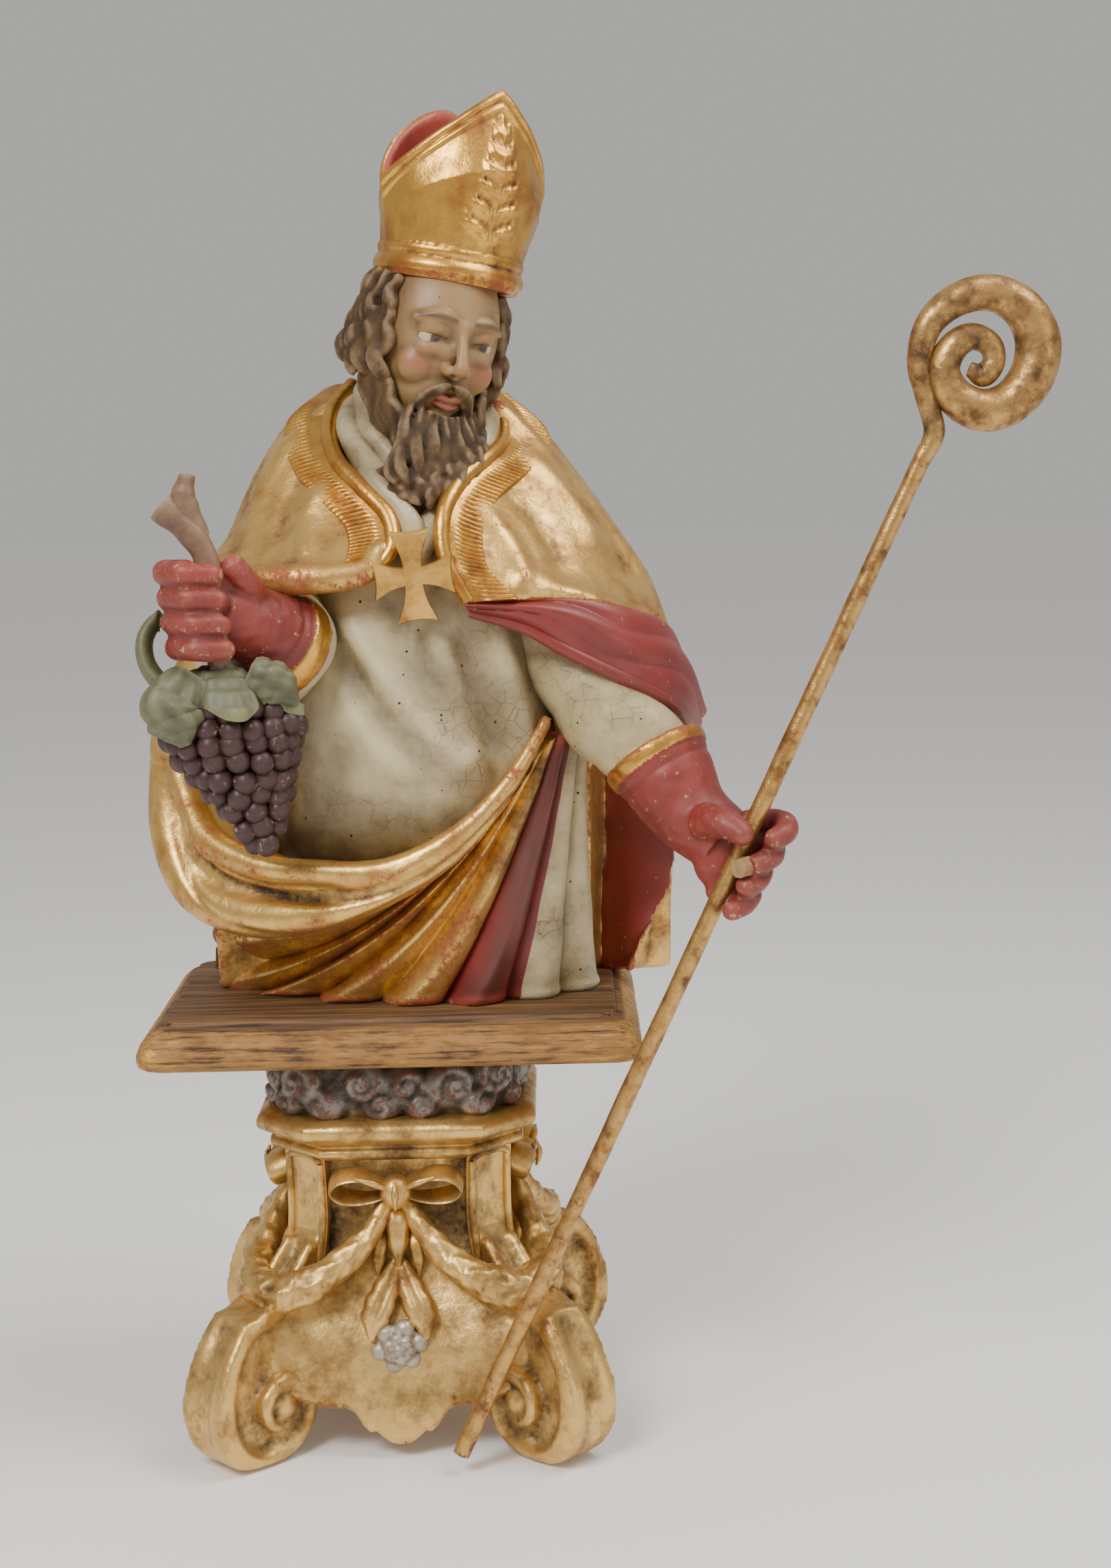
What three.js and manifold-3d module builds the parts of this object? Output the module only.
// A carved, painted and gilded half figure of a bishop saint with a crozier and a bunch of grapes,
// on a moulded board over a gilded scroll pedestal. Millimetres, +Z up, the figure faces -Y.
import * as THREE from "three";
import { mergeVertices } from "three/addons/utils/BufferGeometryUtils.js";
import Module from "manifold-3d";

const wasm = await Module();
wasm.setup();

// Driving dimensions
const PEDESTAL_TOP = 287; // height of the pedestal, under the board
const BOARD_WIDTH = 354;
const BOARD_DEPTH = 240;
const BOARD_THICK = 33;
const BOARD_TOP = PEDESTAL_TOP + BOARD_THICK;
const STAND_X = -4; // the stand's axis, measured from the middle of the figure's base
const TOUCH_GAP = 0.3; // air left between pieces that rest on each other
const FOOT_REACH = 197; // from the pedestal's axis to the outside of a scroll foot, on the diagonal
const CORNICE_HALF = 100;
const NECK_HALF = 81;
const SHAFT_RADIUS = 6.3;
const STEM_RADIUS = 8.5;
const GRAPE_RADIUS = 9.2;
const QUARTER = Math.PI / 2;
const SIDES_OF_SQUARE = 4;

const vec = (x, y, z) => new THREE.Vector3(x, y, z);
const route = (points) => new THREE.CatmullRomCurve3(points.map((p) => vec(...p)), false, "centripetal");
const clamp01 = (t) => Math.min(1, Math.max(0, t));

// A number that runs smoothly through the given values as t goes from 0 to 1.
function flow(values, t) {
  const last = values.length - 1;
  const at = clamp01(t) * last;
  const k = Math.min(Math.floor(at), last - 1);
  const f = at - k;
  const [a, b, c, d] = [-1, 0, 1, 2].map((step) => values[Math.min(last, Math.max(0, k + step))]);
  return b + 0.5 * f * (c - a + f * (2 * a - 5 * b + 4 * c - d + f * (3 * (b - c) + d - a)));
}

// A closed skin: place(u, v) with u round it and v along it, and a flat cap at each end.
function skin(place, around, along) {
  const ball = new THREE.SphereGeometry(1, around, along + 2);
  const spots = ball.getAttribute("position");
  for (let row = 0; row <= along + 2; row++) {
    const v = clamp01((row - 1) / along);
    const ring = Array.from({ length: around }, (_, i) => place(i / around, v));
    const middle = ring.reduce((sum, p) => sum.add(p), vec(0, 0, 0)).divideScalar(around);
    const capped = row === 0 || row === along + 2;
    for (let i = 0; i <= around; i++) {
      const p = capped ? middle : ring[i % around];
      spots.setXYZ(row * (around + 1) + i, p.x, p.y, p.z);
    }
  }
  return ball;
}

// A closed sheet: place(u, v, side) with side 0 on one face and 1 on the other.
function sheet(place, across, down) {
  const box = new THREE.BoxGeometry(1, 1, 1, across, 1, down);
  const spots = box.getAttribute("position");
  for (let i = 0; i < spots.count; i++) {
    const p = place(spots.getX(i) + 0.5, spots.getZ(i) + 0.5, spots.getY(i) + 0.5);
    spots.setXYZ(i, p.x, p.y, p.z);
  }
  return box;
}

// A rod of changing thickness along a route. wide stretches its section square to the given flat direction.
function rod(points, radii, { wide = 1, flat = [0, -1, 0], sides = 5, steps = 4 } = {}) {
  const path = route(points);
  const facing = vec(...flat);
  return skin((u, v) => {
    const along = path.getTangent(v);
    const across = along.clone().cross(facing).normalize();
    const out = across.clone().cross(along).normalize();
    const turn = 2 * Math.PI * u;
    const r = flow(radii, v);
    return path.getPoint(v)
      .addScaledVector(out, r * Math.cos(turn))
      .addScaledVector(across, r * wide * Math.sin(turn));
  }, sides, steps);
}

// A ball stretched to three radii at a place.
function ball(centre, radii, around = 8, along = 5) {
  return new THREE.SphereGeometry(1, around, along).scale(...radii).translate(...centre);
}

// A prism whose plan has the same corners at every height: rows of [z, [x, y], [x, y], ...].
function stack(rows) {
  const corners = rows[0].length - 1;
  return skin((u, v) => {
    const [z, ...plan] = rows[Math.round(v * (rows.length - 1))];
    const [x, y] = plan[Math.round(u * corners) % corners];
    return vec(x, y, z);
  }, corners, rows.length - 1);
}

// A cloth panel between an inner and an outer edge, crowned between them and backed towards a core line.
function panel(inner, outer, { crown, thick, core, across = 7, down = 2 }) {
  const from = route(inner);
  const to = route(outer);
  return sheet((u, v, side) => {
    const p = from.getPoint(u).lerp(to.getPoint(u), v);
    const inward = vec(core[0], core[1], p.z + core[2]).sub(p).normalize();
    return p.addScaledVector(inward, side * thick - crown * Math.sin(Math.PI * v) * (1 - side));
  }, across, down);
}

// A body from rows of [z, left, right, front, back], with rounded oblong sections.
function body(rows, around, squareness = 0.85) {
  return skin((u, v) => {
    const [z, left, right, front, back] = rows[Math.round(v * (rows.length - 1))];
    const turn = 2 * Math.PI * u;
    const bent = (x) => Math.sign(x) * Math.abs(x) ** squareness;
    const sx = bent(Math.cos(turn));
    const sy = bent(Math.sin(turn));
    return vec((left + right) / 2 + (sx * (right - left)) / 2, sy < 0 ? -sy * front : sy * back, z);
  }, around, rows.length - 1);
}

// Six times the volume inside a closed skin, below zero when the skin is inside out.
function enclosed(spots, corners) {
  const at = (i) => new THREE.Vector3().fromBufferAttribute(spots, corners[i]);
  let sum = 0;
  for (let i = 0; i < corners.length; i += 3) {
    sum += at(i).dot(at(i + 1).cross(at(i + 2)));
  }
  return sum;
}

function solid(geometry) {
  const bare = new THREE.BufferGeometry().setAttribute("position", geometry.getAttribute("position"));
  bare.setIndex(geometry.index);
  const merged = mergeVertices(bare, 1e-3);
  const spots = merged.getAttribute("position");
  const corners = new Uint32Array(merged.index.array);
  const outward = enclosed(spots, corners) > 0 ? corners : corners.reverse();
  return new wasm.Manifold(new wasm.Mesh({ numProp: 3, vertProperties: spots.array, triVerts: outward }));
}

const join = (shapes) => shapes.map(solid).reduce((sum, part) => sum.add(part));
const cut = (whole, shapes) => shapes.map(solid).reduce((rest, part) => rest.subtract(part), whole);

// The same shapes on sides of the square pedestal, counted from the front.
const onSides = (sides, shapes) => sides.flatMap((k) => shapes.map((shape) => shape.clone().rotateZ(k * QUARTER)));
const ALL_SIDES = [0, 1, 2, 3];

// The pedestal
// The plan of a square repeated from one side's corners, front side first.
function squarePlan(side) {
  return ALL_SIDES.flatMap((k) => side.map(([x, y]) => {
    const corner = new THREE.Vector2(x, y).rotateAround(new THREE.Vector2(), k * QUARTER);
    return corner.toArray();
  }));
}

const CORE_BOTTOM = 38; // the wood above the feet's arches

// The waisted core: canted corner pilasters, and between them a sunk panel that flares out to an apron.
function pedestalCore() {
  const rows = [ // z, half width of the cants, their leg, the panel's half width and its depth
    [CORE_BOTTOM, 96, 36, 59, 110],
    [78, 93, 32, 60, 102],
    [110, 87, 28, 58, 87],
    [140, 83, 30, 51, 74],
    [165, NECK_HALF, 31, 48, 69],
    [216, NECK_HALF + 1, 31, 48, 68],
  ];
  return stack(rows.map(([z, half, leg, panelHalf, depth]) => [z, ...squarePlan([
    [-half, leg - half], [leg - half, -half], [-panelHalf, -depth], [panelHalf, -depth],
  ])]));
}

// The moulded octagon over the pilasters.
function cornice() {
  const rows = [[212, NECK_HALF + 3], [219, 91], [225, 92], [232, CORNICE_HALF], [240, CORNICE_HALF], [244, 93]];
  const leg = 37;
  return stack(rows.map(([z, half]) => [z, ...squarePlan([[-half, leg - half], [leg - half, -half]])]));
}

// The silvered collar: eight cloud lobes that swell and tuck in again.
function cloudCollar() {
  const rows = [[240, 93, 3], [252, 100, 9], [270, 103, 11], [PEDESTAL_TOP - TOUCH_GAP, 95, 5]];
  const lobes = 8;
  return skin((u, v) => {
    const [z, radius, swell] = rows[Math.round(v * (rows.length - 1))];
    const turn = 2 * Math.PI * u;
    const tuck = Math.abs(Math.cos((lobes / 2) * turn));
    const r = radius * (1 - 0.085 * Math.cos(4 * turn)) + swell * (tuck - 0.5);
    return vec(r * Math.cos(turn), r * Math.sin(turn), z);
  }, 2 * lobes, rows.length - 1);
}

// An outline in the plane through a corner's diagonal, given a width that grows outwards.
function diagonalPiece(outline, widthAt) {
  const shape = new THREE.Shape(outline.map(([r, z]) => new THREE.Vector2(r, z)));
  const piece = new THREE.ExtrudeGeometry(shape, { depth: 1, bevelEnabled: false, steps: 1 });
  const spots = piece.getAttribute("position");
  for (let i = 0; i < spots.count; i++) {
    const [r, z, s] = [spots.getX(i), spots.getY(i), spots.getZ(i) - 0.5];
    spots.setXYZ(i, r, s * widthAt(r), z);
  }
  return piece.rotateZ(-QUARTER / 2);
}

// One scroll foot: a band that sweeps out from the corner, turns under and curls in to an eye.
function scrollFoot() {
  const width = (r) => 30 + 0.17 * Math.max(0, r - 110);
  const edge = FOOT_REACH;
  const top = [[90, 164], [110, 130], [edge - 28, 108]];
  const outside = [[edge - 8, 80], [edge, 48], [edge - 5, 22], [edge - 18, 5], [edge - 31, 0],
    [edge - 46, 0], [edge - 66, 10], [edge - 79, 32]];
  const inside = [[edge - 62, 22], [edge - 36, 18], [edge - 19, 46], [edge - 36, 82], [edge - 104, 96]];
  const band = diagonalPiece([...top, ...outside, ...inside], width);
  const behind = [[96, 148], [148, 102], [edge - 18, 74], [edge - 12, 34], [edge - 44, 9], [edge - 68, 22],
    [80, 56]];
  const web = diagonalPiece(behind, (r) => width(r) - 10);
  const eye = new THREE.CylinderGeometry(1, 1, 1, 7).scale(22, width(edge - 56) + 5, 18);
  eye.translate(edge - 57, 0, 37).rotateZ(-QUARTER / 2);
  return [band, web, eye];
}

// The scalloped apron that hangs under the core on one side.
function apron() {
  const half = [[0, 11], [17, 19], [27, 24], [36, 36], [44, 44]];
  const mirrored = half.slice(1).reverse().map(([x, z]) => [-x, z]);
  const shape = new THREE.Shape([...mirrored, ...half].map(([x, z]) => new THREE.Vector2(x, z)));
  return new THREE.ExtrudeGeometry(shape, { depth: 16, bevelEnabled: false }).rotateX(QUARTER).translate(0, -94, 0);
}

// One loop of the ribbon bow: a short open curl, its mouth turned down and out.
function bowLoop(side) {
  const wall = [[0.72, -10], [1, -10], [1, 10], [0.72, 10], [0.72, -10]].map(([r, z]) => new THREE.Vector2(r, z));
  const loop = new THREE.LatheGeometry(wall, 7).rotateX(QUARTER).scale(24, 15, 1);
  return loop.rotateX(-0.6).rotateY(side * 0.2).translate(side * 24, -76, 193);
}

// The bow in full on the front, and with plain loops on the sides.
const frontBow = () => [bowLoop(-1), bowLoop(1), ball([0, -83, 189], [12, 10, 12], 6, 4)];
const sideBow = () => [
  rod([[-46, -70, 190], [-24, -88, 196], [0, -76, 189], [24, -88, 196], [46, -70, 190]], [7, 12, 9, 12, 7],
    { sides: 4 }),
];

// A five-lobed flower on the apron.
function flower() {
  const petals = 5;
  return skin((u, v) => {
    const turn = 2 * Math.PI * u;
    const r = (24 - 12 * v * v) * (0.84 + 0.16 * Math.cos(petals * turn));
    return vec(r * Math.sin(turn), -98 - 18 * v, 80 + r * Math.cos(turn));
  }, 2 * petals, 2);
}

// What hangs from a bow: husks and a pair of leaves over the flower.
function drop() {
  const husk = (x, top, bottom, r) =>
    rod([[x * 0.6, -70, top], [x, -82, (top + bottom) / 2], [x, -84, bottom]], [r * 0.5, r, r * 0.5],
      { sides: 4, steps: 2 });
  const leaf = (side) => rod([[side * 2, -80, 132], [side * 12, -96, 116], [side * 13, -100, 98]], [4, 10, 5],
    { sides: 4, steps: 2, wide: 1.2 });
  return [husk(0, 184, 128, 10), husk(-15, 158, 124, 6), husk(15, 158, 124, 6), leaf(-1), leaf(1)];
}

// A garland from the bow of one side down round the corner to the bow of the next.
function garland() {
  const half = [[4, -76, 182], [22, -90, 156], [44, -99, 138], [64, -102, 128], [84, -98, 121]];
  const mirrored = half.slice().reverse().map(([x, y, z]) => [-y, -x, z]);
  return rod([...half, ...mirrored], [6, 8, 10, 12, 13, 13, 12, 10, 8, 6], { sides: 4, steps: 5 });
}

function pedestal() {
  const sides = onSides(ALL_SIDES, [...scrollFoot(), apron(), garland()]);
  const ornament = [...frontBow(), ...drop(), ...onSides([1, 3], sideBow()), ...onSides([0, 1, 3], [flower()])];
  const shapes = [pedestalCore(), cornice(), cloudCollar(), ...sides, ...ornament];
  return join(shapes.map((shape) => shape.translate(STAND_X, 0, 0)));
}

// The board: a rounded oblong with an ovolo round its top.
function board() {
  const rows = [[0, 4], [4, 0], [14, 1], [23, 6], [29, 13], [29.5, 18], [BOARD_THICK, 20]];
  const corners = 4;
  const perCorner = 3;
  const round = 14;
  return skin((u, v) => {
    const [z, inset] = rows[Math.round(v * (rows.length - 1))];
    const k = Math.round(u * corners * perCorner);
    const turn = (Math.floor(k / perCorner) + (k % perCorner) / (perCorner - 1)) * QUARTER;
    const quadrant = (Math.floor(k / perCorner) + 0.5) * QUARTER;
    const x = Math.sign(Math.cos(quadrant)) * (BOARD_WIDTH / 2 - inset - round) + round * Math.cos(turn);
    const y = Math.sign(Math.sin(quadrant)) * (BOARD_DEPTH / 2 - inset - round) + round * Math.sin(turn);
    return vec(STAND_X + x, y, PEDESTAL_TOP + z);
  }, corners * perCorner, rows.length - 1);
}

// The figure
const BASE = BOARD_TOP + TOUCH_GAP;

// The white alb: chest, belly and the part hidden under the mantle.
const ALB_ROWS = [ // z, left, right, front, back
  [BASE, -78, 138, -40, 60],
  [380, -90, 132, -68, 66],
  [440, -86, 126, -94, 70],
  [500, -78, 120, -99, 68],
  [560, -78, 116, -93, 62],
  [620, -70, 112, -82, 56],
  [665, -44, 92, -62, 48],
  [700, -14, 72, -50, 40],
  [752, -6, 66, -40, 34],
];

// The gilded mantle behind and at the sides.
const MANTLE_ROWS = [
  [BASE, -164, 206, -4, 84],
  [378, -160, 204, -10, 90],
  [440, -172, 208, -36, 92],
  [505, -180, 212, -36, 92],
  [560, -158, 206, -38, 88],
  [615, -126, 188, -38, 80],
  [655, -113, 162, -34, 72],
  [690, -96, 136, -26, 64],
  [722, -72, 108, -14, 56],
  [746, -44, 84, -4, 50],
];

// Dark space between the alb and the mantle's hanging edge on the crozier's side.
const CROZIER_SIDE_HOLLOW = [ // z, then the plan: front corners, outside, the mantle's edge, the back of the space
  [BASE - 20, [136, -90], [270, -90], [270, 86], [158, 13], [142, 56]],
  [345, [136, -90], [270, -90], [270, 76], [176, 18], [143, 57]],
  [385, [134, -90], [270, -90], [270, 58], [200, 24], [145, 56]],
  [440, [136, -90], [270, -90], [270, 40], [212, 10], [148, 50]],
  [490, [138, -60], [240, -70], [240, 0], [206, -10], [150, 30]],
];

// The step back from the front drapery to the mantle's hanging edge on the other side.
const GRAPE_SIDE_NOTCH = [
  [BASE - 20, [-136, -90], [-270, -90], [-270, 40], [-160, 50], [-132, 40]],
  [370, [-138, -90], [-270, -90], [-270, 50], [-154, 58], [-138, 40]],
  [388, [-150, -60], [-230, -60], [-230, 30], [-170, 30], [-150, 20]],
];

// The open collar round the neck, cut down into the mantle.
const COLLAR_WELL_ROWS = [
  [676, 4, 50, -56, 6],
  [706, -20, 66, -56, 22],
  [735, -30, 74, -62, 30],
  [775, -38, 84, -72, 34],
];

const NECKLINE_LEFT = [[-24, 26, 758], [-36, 0, 741], [-38, -25, 722], [-30, -50, 703], [-13, -70, 686],
  [6, -86, 665], [8, -98, 645], [-5, -103, 629]];
const SHOULDER_LEFT = [[-54, 30, 742], [-80, 16, 722], [-99, 4, 692], [-110, -10, 666], [-118, -34, 645],
  [-110, -68, 633], [-84, -94, 628], [-40, -104, 626]];
const NECKLINE_RIGHT = [[68, 24, 750], [82, 4, 733], [84, -18, 716], [73, -46, 704], [56, -70, 690],
  [44, -92, 668], [44, -102, 640], [60, -106, 608]];
const SHOULDER_RIGHT = [[92, 28, 738], [122, 20, 712], [146, 14, 682], [170, 4, 648], [190, -8, 616],
  [194, -44, 590], [160, -84, 603], [112, -102, 608]];

// The gilded cope over both shoulders, with the rolled hem over the forearm.
function shoulderCape() {
  const shared = { crown: 9, thick: 60 };
  const rolledHem = rod([[-114, -24, 642], [-108, -68, 632], [-80, -98, 627], [-44, -108, 627], [-8, -104, 632],
    [4, -96, 650]], [8, 10, 11, 11, 9, 7], { steps: 5 });
  return [
    panel(NECKLINE_LEFT, SHOULDER_LEFT, { ...shared, core: [-10, 0, -30] }),
    panel(NECKLINE_RIGHT, SHOULDER_RIGHT, { ...shared, core: [50, 0, -30] }),
    rolledHem,
  ];
}

// The red lining turned out over the arm on the crozier's side.
function turnedLining() {
  const upper = [[62, -106, 609], [112, -101, 610], [148, -90, 606], [176, -72, 598], [196, -44, 586],
    [208, -16, 566], [216, 4, 530]];
  const lower = [[60, -100, 602], [98, -102, 590], [124, -100, 575], [148, -97, 562], [174, -88, 548],
    [202, -66, 530], [217, -20, 506]];
  return panel(upper, lower, { crown: 9, thick: 30, core: [110, 20, -20], across: 6 });
}

// Pleats fan out from a gather under the arm to the hem, which starts up the grape side and runs along the board.
const GATHER = [[64, -98, 450], [92, -88, 480], [110, -72, 506], [126, -56, 512], [140, -34, 500]];
const HEM = [[-138, 6, 386], [-130, 10, 352], [-126, 6, BASE], [-88, -22, BASE], [-43, -47, BASE], [4, -61, BASE],
  [48, -67, BASE], [84, -58, BASE], [118, -40, BASE], [148, -6, BASE]];

function frontDrapery() {
  const pleats = 8;
  const gather = route(GATHER);
  const hem = route(HEM);
  return sheet((u, v, side) => {
    const [top, low] = [gather.getPoint(u), hem.getPoint(u)];
    const bend = top.clone().lerp(low, 0.5).add(vec(6 - 10 * u, -34 + 14 * u, -44 * (1 - u) - 12));
    const p = new THREE.QuadraticBezierCurve3(top, bend, low).getPoint(v);
    const ridge = (1 + 7 * v) * Math.cos(2 * Math.PI * pleats * u);
    const inward = vec(20 - p.x, 40 - p.y, 0).normalize();
    return p.addScaledVector(inward, side * 40 - (1 - side) * ridge);
  }, 2 * pleats, 3);
}

// The heavy cloth slung across the belly from the hanging side up to the gather: two rolls with a trough between.
function sling() {
  const upper = route([[-156, -22, 490], [-134, -58, 446], [-96, -84, 428], [-52, -99, 424], [0, -108, 426],
    [50, -105, 450], [86, -94, 486], [112, -74, 526]]);
  const lower = route([[-160, 0, 496], [-160, -18, 438], [-142, -40, 402], [-104, -66, 389], [-56, -88, 392],
    [-8, -101, 408], [40, -103, 436], [80, -91, 476], [112, -70, 522]]);
  return skin((u, v) => {
    const [up, low] = [upper.getPoint(v), lower.getPoint(v)];
    const out = vec(low.x - 20, low.y - 60, 0).normalize();
    const [upperRoll, lowerRoll] = [flow([10, 11, 10, 9, 9, 8, 6, 4], v), flow([19, 18, 17, 16, 13, 11, 8, 4], v)];
    const at = (spot, ahead, rise) => spot.clone().addScaledVector(out, ahead).add(vec(0, 0, rise));
    return [
      at(low, 0, -lowerRoll), at(low, lowerRoll, 0), at(low.clone().lerp(up, 0.5), 1, 0), at(up, upperRoll, 0),
      at(up, 0, upperRoll), at(up, -34, 0), at(low, -34, 0),
    ][Math.round(u * 7)];
  }, 7, 8);
}

// Soft folds across the white belly.
const albFolds = () => [
  rod([[-24, -84, 590], [4, -92, 556], [40, -98, 534], [80, -92, 528]], [5, 8, 8, 5], { sides: 4, steps: 3 }),
  rod([[62, -84, 598], [76, -90, 560], [92, -86, 522], [96, -80, 494]], [5, 9, 9, 5],
    { sides: 4, steps: 3 }),
];

const GRAPE_CUFF = [-74, -99, 584];
const CROZIER_CUFF = [190, -84, 492];

function sleeves() {
  return [
    rod([[-104, 0, 580], [-88, -50, 582], GRAPE_CUFF], [44, 46, 43], { sides: 9, steps: 2 }),
    rod([[84, -4, 640], [118, -30, 590], [154, -62, 530], CROZIER_CUFF], [36, 39, 38, 36], { sides: 9, steps: 3 }),
  ];
}

// The gloved fist round the grape stem.
function stemHand() {
  const fingers = [0, 1, 2, 3].map((k) => {
    const z = 636 - 16.5 * k;
    const x = -118 + 2 * k;
    return rod([[x - 4, -132, z], [x - 20, -150, z], [x - 6, -168, z], [x + 20, -164, z - 2]], [8, 8.1, 8.1, 7],
      { flat: [0, 0, 1], sides: 4, steps: 3 });
  });
  const gauntlet = rod([[-68, -90, 578], GRAPE_CUFF, [-90, -122, 598], [-110, -140, 611]], [38, 37, 28, 22],
    { sides: 7, steps: 2 });
  const thumb = rod([[-84, -124, 612], [-87, -142, 628], [-97, -153, 645]], [12, 10, 7],
    { sides: 4, steps: 2 });
  return [gauntlet, ball([-111, -141, 611], [22, 17, 34], 6, 4), thumb, ...fingers];
}

// The crozier's axis, from its foot to the neck under the crook.
const SHAFT_FOOT = [39.5, -140, 15];
const SHAFT_NECK = [366, -140, 706];
const shaftAt = (z) => SHAFT_FOOT[0] + ((SHAFT_NECK[0] - SHAFT_FOOT[0]) * (z - SHAFT_FOOT[2])) /
  (SHAFT_NECK[2] - SHAFT_FOOT[2]);

// The gloved hand closed on the crozier: palm behind, fingers round from the far side, thumb over the front.
function crozierHand() {
  const reach = [15, 12, 11, 9];
  const fingers = reach.map((tip, k) => {
    const z = 455 - 16 * k;
    const x = shaftAt(z);
    return rod([[x - 8, -121, z + 2], [x + 20, -124, z + 1], [x + 23 - 2 * k, -144, z - 3], [x + tip - 6, -156, z - 8]],
      [7.8, 7.9, 7.9, 6.5], { flat: [0, 0, 1], sides: 4, steps: 3 });
  });
  const gauntlet = rod([[176, -78, 506], CROZIER_CUFF, [208, -100, 460], [232, -114, 440]], [33, 32, 28, 24],
    { sides: 7, steps: 3 });
  const thumb = rod([[214, -122, 456], [229, -145, 459], [246, -158, 449]], [13, 11, 7], { sides: 4, steps: 2 });
  return [gauntlet, ball([233, -118, 434], [25, 15, 30], 6, 4), thumb, ...fingers];
}

// A frame for the head or the mitre: its middle, leaned to the side, turned towards the crozier and bowed.
function bowedFrame(middle, lean, turn, bow) {
  return new THREE.Matrix4()
    .makeTranslation(...middle)
    .multiply(new THREE.Matrix4().makeRotationY(lean))
    .multiply(new THREE.Matrix4().makeRotationZ(turn))
    .multiply(new THREE.Matrix4().makeRotationX(bow));
}

const HEAD = bowedFrame([38, -20, 794], 0.22, 0.48, 0.14);
const MITRE = bowedFrame([47, -12, 826], 0.2, 0.5, -0.02);
const headPoint = (x, y, z) => vec(x, y, z).applyMatrix4(HEAD).toArray();

function head() {
  const skull = ball([0, 2, -2], [45, 52, 64], 10, 7).applyMatrix4(HEAD);
  const nose = rod([headPoint(0, -44, 18), headPoint(0, -58, -13), headPoint(0, -50, -25)], [5, 7, 7],
    { sides: 4, steps: 2 });
  const brow = rod([headPoint(-32, -38, 15), headPoint(0, -50, 17), headPoint(32, -38, 15)], [4, 5, 4],
    { sides: 4, steps: 2 });
  return [skull, nose, brow];
}

// The full beard, its locks as ridges that wave down to a point, and the moustache.
function beard() {
  const path = route([headPoint(0, -20, -18), [31, -48, 740], [29, -64, 714], [27, -80, 692], [26, -90, 674]]);
  const around = 14;
  const mass = skin((u, v) => {
    const lock = Math.round(u * around) % 2 ? 0.88 : 1.1;
    const r = flow([34, 40, 37, 26, 9], v) * lock;
    const turn = 2 * Math.PI * u + 0.25 * Math.sin(5 * v);
    return path.getPoint(v).add(vec(r * Math.cos(turn), 0.92 * r * Math.sin(turn), 0.3 * r * Math.sin(turn)));
  }, around, 4);
  const moustache = [-1, 1].map((side) =>
    rod([headPoint(side * 2, -48, -19), headPoint(side * 16, -50, -29), headPoint(side * 30, -36, -46)], [4, 6, 4],
      { sides: 4, steps: 2 }));
  return [mass, ...moustache];
}

// The hair: one thick fringe from under the mitre to the nape, its locks as ridges that wave as they fall.
function hair() {
  const locks = 9;
  const spread = Math.PI + 1;
  return skin((u, v) => {
    const edge = Math.round(u * 2 * locks) / (2 * locks - 1);
    const turn = (Math.PI - spread) / 2 + spread * edge + 0.07 * Math.sin(7 * v);
    const ridge = Math.round(u * 2 * locks) % 2 ? 5 : -4;
    const r = flow([44, 52, 51, 57, 48], v) + ridge;
    return vec(...headPoint(r * Math.cos(turn), 8 + r * Math.sin(turn), 34 - 72 * v));
  }, 2 * locks, 4);
}

// The mitre: a moulding round the brow, then a flared wall that rises to a pointed horn at front and back.
function mitre() {
  const wall = 0.15;
  const profile = (turn) => {
    const valley = Math.abs(turn) / QUARTER;
    const horn = 1 - (valley > 1 ? 2 - valley : valley) ** 0.95;
    const rim = 64 + 66 * horn;
    const lean = 1.24 - 0.5 * horn;
    return [[0.98, 0], [1.06, 9], [1, 20], [1.13, 20 + 0.5 * (rim - 20)], [lean, rim], [lean - wall, rim - 3],
      [1.02 - wall - 0.1 * horn, 54 + 0.3 * (rim - 64)], [0.7, 48]];
  };
  const rows = profile(0).length - 1;
  return skin((u, v) => {
    const turn = 2 * Math.PI * (u > 0.5 ? u - 1 : u);
    const [share, h] = profile(turn)[Math.round(v * rows)];
    return vec(50 * share * Math.sin(turn), -52 * share * Math.cos(turn), h);
  }, 16, rows).applyMatrix4(MITRE);
}

function figure() {
  const mantle = cut(join([body(MANTLE_ROWS, 14, 0.65)]), [stack(CROZIER_SIDE_HOLLOW), stack(GRAPE_SIDE_NOTCH)]);
  const cope = cut(mantle.add(join(shoulderCape())), [body(COLLAR_WELL_ROWS, 10, 0.9)]);
  const dress = join([body(ALB_ROWS, 14), ...albFolds(), ...sleeves(), turnedLining(), frontDrapery(),
    sling()]);
  const bust = join([...head(), ...beard(), hair(), mitre(), ...stemHand(), ...crozierHand()]);
  const room = SHAFT_RADIUS + TOUCH_GAP;
  const shaftRoom = rod([[shaftAt(300), -140, 300], [shaftAt(600), -140, 600]], [room, room], { sides: 8, steps: 1 });
  const below = new THREE.BoxGeometry(700, 500, 100).translate(0, 0, BASE - 50);
  const rooms = [shaftRoom, ...grapeStem(TOUCH_GAP), pectoralCross(TOUCH_GAP), below];
  return cut(cope.add(dress).add(bust), rooms);
}

// The vine stem that runs through the fist.
function grapeStem(grow = 0) {
  const r = STEM_RADIUS + grow;
  const stem = rod([[-139, -150, 680], [-124, -150, 666], [-112, -151, 648], [-109, -151, 620], [-105, -150, 566]],
    [r + 3, r + 1, r, r, r - 1], { sides: 6, steps: 4 });
  const twig = rod([[-121, -150, 700], [-124, -150, 684], [-114, -150, 658]], [5 + grow, r, r - 2],
    { sides: 5, steps: 2 });
  return [stem, twig];
}

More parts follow.
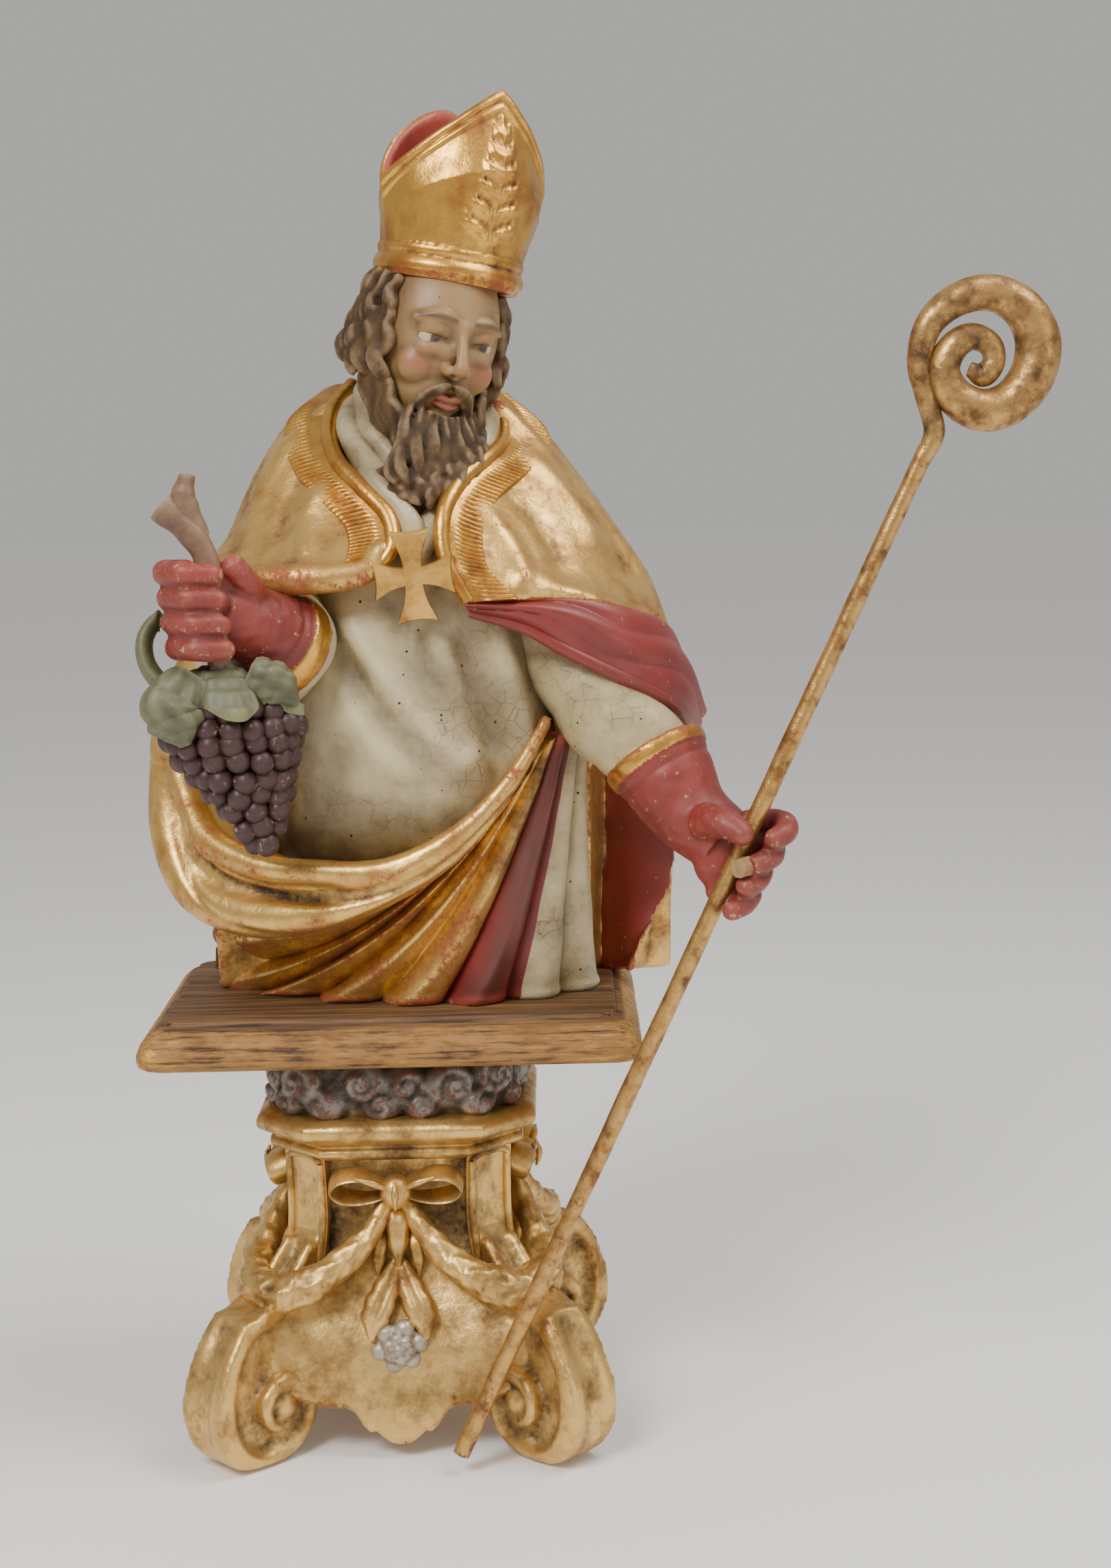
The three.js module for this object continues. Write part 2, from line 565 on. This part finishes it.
// The bunch: rings of grapes down a narrowing cone, open towards the figure, where the wood is left plain.
function grapeBunch() {
  const rings = [ // height, the ring's middle, its half width and the number of grapes
    [539, -101, 42, 6],
    [518, -100, 39, 5],
    [497, -94, 29, 4],
    [477, -88, 18, 3],
    [457, -82, 8, 1],
  ];
  const span = 1.25 * Math.PI;
  const grapes = rings.flatMap(([z, middle, half, count]) => Array.from({ length: count }, (_, k) => {
    const turn = -QUARTER + span * ((k + 0.5) / count - 0.5);
    return new THREE.IcosahedronGeometry(GRAPE_RADIUS)
      .translate(middle + half * Math.cos(turn), -140 + 0.6 * half * Math.sin(turn), z);
  }));
  const core = rod([[-102, -143, 558], [-100, -139, 530], [-93, -138, 490], [-78, -140, 440]], [34, 40, 27, 6],
    { wide: 0.62, flat: [1, 0, 0], sides: 7, steps: 3 });
  return [core, ...grapes];
}

// Vine leaves over the top of the bunch, and the curled one at its side.
function vineLeaves() {
  const lobes = 5;
  const top = skin((u, v) => {
    const turn = 2 * Math.PI * u;
    const reach = (16 + 28 * v) * (1 + 0.18 * v * Math.cos(lobes * turn));
    return vec(-106 + reach * Math.cos(turn), -153 + 0.58 * reach * Math.sin(turn), 570 - 24 * v * v);
  }, 2 * lobes, 2);
  const hang = rod([[-124, -160, 566], [-134, -172, 550], [-128, -172, 524]], [12, 15, 5],
    { wide: 1.3, sides: 4, steps: 2 });
  const curl = rod([[-126, -146, 562], [-148, -148, 568], [-155, -144, 588], [-147, -138, 602]], [8, 6, 6, 3],
    { wide: 2, flat: [1, 0, 0], sides: 4 });
  return [top, hang, curl];
}

// The pectoral cross: four flared arms, held off the chest between the edges of the cope.
function pectoralCross(grow = 0) {
  const [arm, flare, waist, thick] = [28 + grow, 14 + grow, 7 + grow, 6 + 2 * grow];
  const outline = ALL_SIDES.flatMap((k) => {
    const long = k % 2 ? arm : arm + 4;
    return [[-flare, long], [flare, long], [waist, waist]].map(([x, y]) =>
      new THREE.Vector2(x, y).rotateAround(new THREE.Vector2(), -k * QUARTER));
  });
  const plate = new THREE.ExtrudeGeometry(new THREE.Shape(outline), { depth: thick, bevelEnabled: false });
  return plate.translate(0, 0, -grow).rotateX(QUARTER).rotateY(-0.08).rotateX(0.1).translate(23, -106, 628);
}

// The crozier: a straight staff that swells into a neck and curls into a crook.
function crozier() {
  const staff = rod([SHAFT_FOOT, SHAFT_NECK], [SHAFT_RADIUS - 0.6, SHAFT_RADIUS + 0.2], { sides: 8, steps: 1 });
  const curl = [[364, 700], [371, 716], [366, 738], [361, 762], [368, 788], [386, 804], [408, 808], [430, 797],
    [442, 775], [438, 750], [422, 733], [402, 730], [384, 740], [377, 757], [384, 772], [396, 778], [408, 772],
    [410, 761], [403, 753]].map(([x, z]) => [x, -140, z]);
  const crook = rod(curl, [6, 7, 7, 8, 9.5, 11, 12, 13.5, 15, 15, 14.5, 14, 12.5, 11, 10, 9, 8, 7, 5],
    { sides: 6, steps: 18 });
  return [staff, crook];
}

const GOLD = { color: 0xc99a3f, roughness: 0.35, metalness: 0.75 };
const WORN_GOLD = { color: 0xa5793a, roughness: 0.5, metalness: 0.45 };
const GRAPE = { color: 0x54333c, roughness: 0.5, metalness: 0 };

function piece(name, shape, finish) {
  const { vertProperties, triVerts } = shape.getMesh();
  const geometry = new THREE.BufferGeometry()
    .setAttribute("position", new THREE.BufferAttribute(vertProperties, 3))
    .setIndex(new THREE.BufferAttribute(triVerts, 1));
  const mesh = new THREE.Mesh(geometry, new THREE.MeshStandardMaterial(finish));
  mesh.name = name;
  return mesh;
}

const work = new THREE.Group();
work.add(
  piece("scroll_pedestal", pedestal(), GOLD),
  piece("plinth_board", join([board()]), WORN_GOLD),
  piece("saint_figure", figure(), GOLD),
  piece("pectoral_cross", join([pectoralCross()]), GOLD),
  piece("grape_bunch", join([...grapeStem(), ...grapeBunch(), ...vineLeaves()]), GRAPE),
  piece("crozier", join(crozier()), WORN_GOLD),
);

// The origin is on the floor, under the middle of the whole work's bounding box.
const box = new THREE.Box3().setFromObject(work);
work.position.set(-(box.min.x + box.max.x) / 2, -(box.min.y + box.max.y) / 2, 0);
const group = new THREE.Group();
group.add(work);
export default group;
